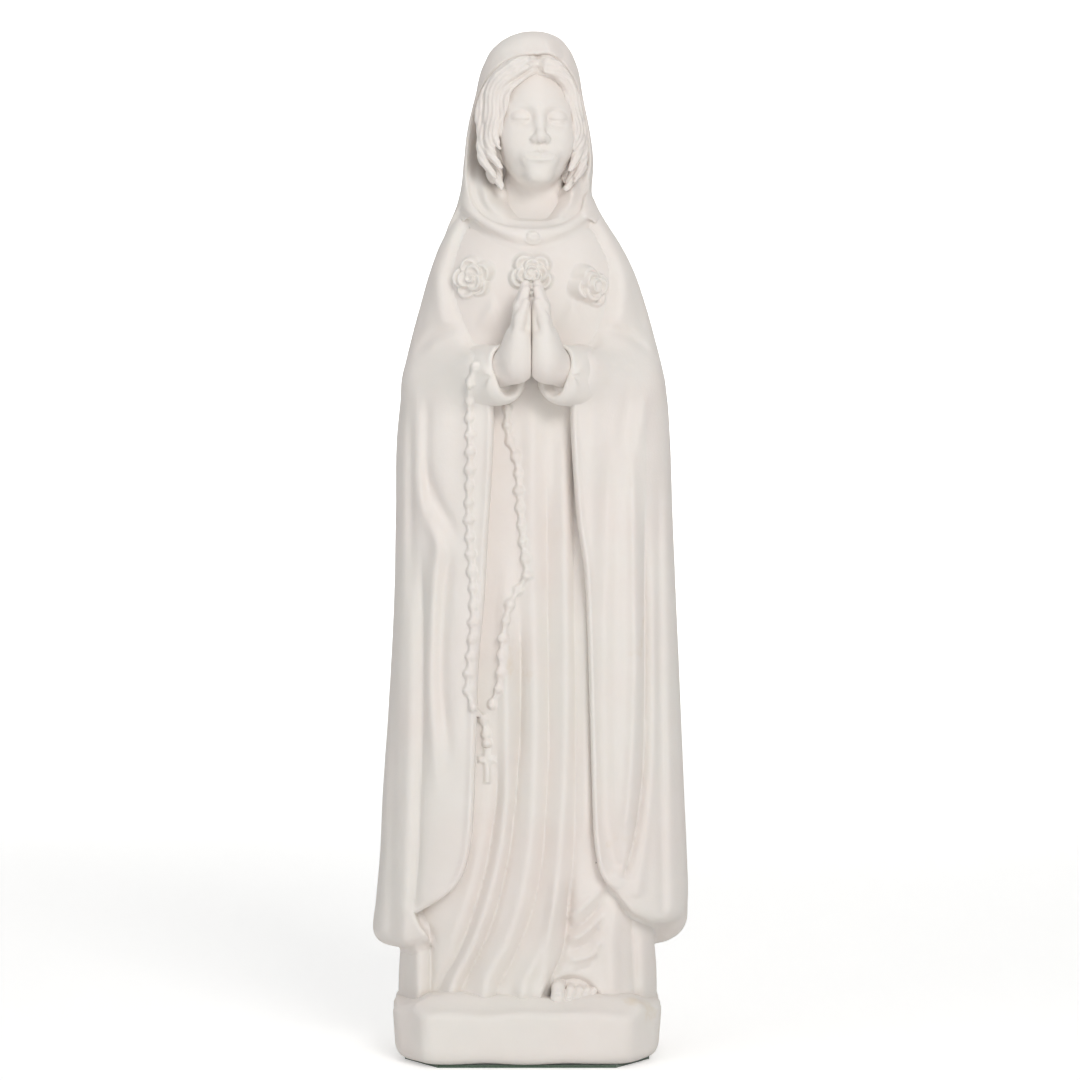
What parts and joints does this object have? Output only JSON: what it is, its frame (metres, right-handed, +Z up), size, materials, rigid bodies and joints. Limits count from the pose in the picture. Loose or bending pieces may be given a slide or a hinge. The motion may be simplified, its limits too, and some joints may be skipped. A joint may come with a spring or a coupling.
{
  "type": "madonna statue",
  "caption": "Standing praying Madonna figure in white cast plaster, veiled and cloaked, with joined hands, chest roses and a rosary, on a low chamfered plinth.",
  "frame": {"origin": "middle of the underside of the base felt, at the centre of the plinth", "axes": "+Z up, the figure faces -Y, its right hand is towards -X"},
  "size_m": [0.0921, 0.0658, 0.3],
  "materials": {
    "plaster": "matt, unglazed white cast plaster, faintly mottled, with small air-bubble pits",
    "iron_wire": "plain drawn wire",
    "felt": "thin pale felt"
  },
  "bodies": {
    "root": {"plinth": "plaster", "pour_plug": "plaster", "gown": "plaster", "mantle": "plaster", "right_arm_drape": "plaster", "left_arm_drape": "plaster", "veil": "plaster", "head": "plaster", "hair": "plaster", "right_hand": "plaster", "left_hand": "plaster", "right_sleeve": "plaster", "left_sleeve": "plaster", "rose_centre": "plaster", "rose_right": "plaster", "rose_left": "plaster", "clasp": "plaster", "foot": "plaster", "rosary_chain": "plaster", "rosary_cross": "plaster", "armature_rod": "iron_wire", "hand_pins": "iron_wire", "base_felt": "felt"}
  },
  "joints": []
}
